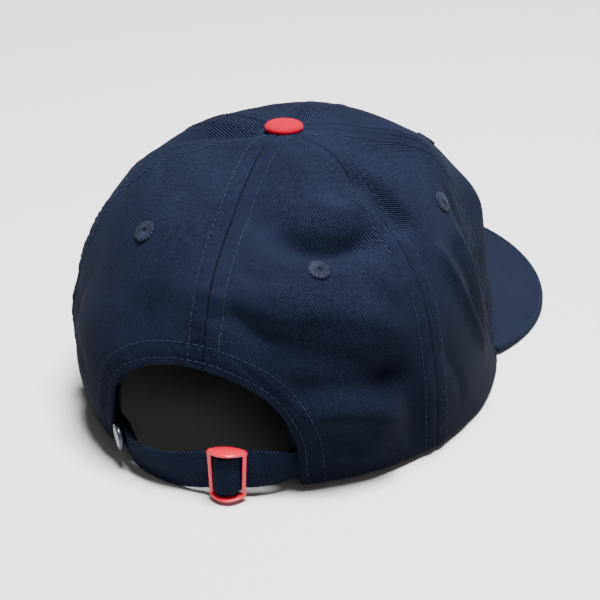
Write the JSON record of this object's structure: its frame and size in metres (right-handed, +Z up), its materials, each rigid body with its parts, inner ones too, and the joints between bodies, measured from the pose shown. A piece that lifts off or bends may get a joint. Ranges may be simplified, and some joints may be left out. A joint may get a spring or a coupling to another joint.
{
  "type": "peaked cap",
  "caption": "Soft twill cap with a curved peak, embroidered eyelets, a covered top button and a rear opening closed by a strap with a slide buckle.",
  "frame": {"origin": "centre of the footprint's bounding box, on the surface that the cap rests on", "axes": "+Z up, -Y the front with the peak, +Y the rear opening, +X the wearer's left"},
  "size_m": [0.1732, 0.2796, 0.1183],
  "materials": {
    "navy_twill": "dark navy cotton twill",
    "navy_band": "dark navy cotton, plain",
    "navy_webbing": "navy herringbone webbing",
    "navy_thread": "navy satin stitch",
    "red_cloth": "bright red cloth",
    "red_plastic": "glossy bright red",
    "navy_enamel": "satin navy enamel",
    "pale_enamel": "off-white enamel"
  },
  "bodies": {
    "root": {"panel_back_right": "navy_twill", "panel_side_right": "navy_twill", "panel_front_right": "navy_twill", "panel_front_left": "navy_twill", "panel_side_left": "navy_twill", "panel_back_left": "navy_twill", "peak": "navy_twill", "sweatband": "navy_band", "back_strap": "navy_webbing", "strap_tab": "navy_webbing", "slide_buckle": "red_plastic", "strap_rivet": "navy_enamel", "rivet_plate": "pale_enamel", "top_button": "red_cloth", "eyelet_back_right": "navy_thread", "eyelet_side_right": "navy_thread", "eyelet_front_right": "navy_thread", "eyelet_front_left": "navy_thread", "eyelet_side_left": "navy_thread", "eyelet_back_left": "navy_thread"}
  },
  "joints": []
}
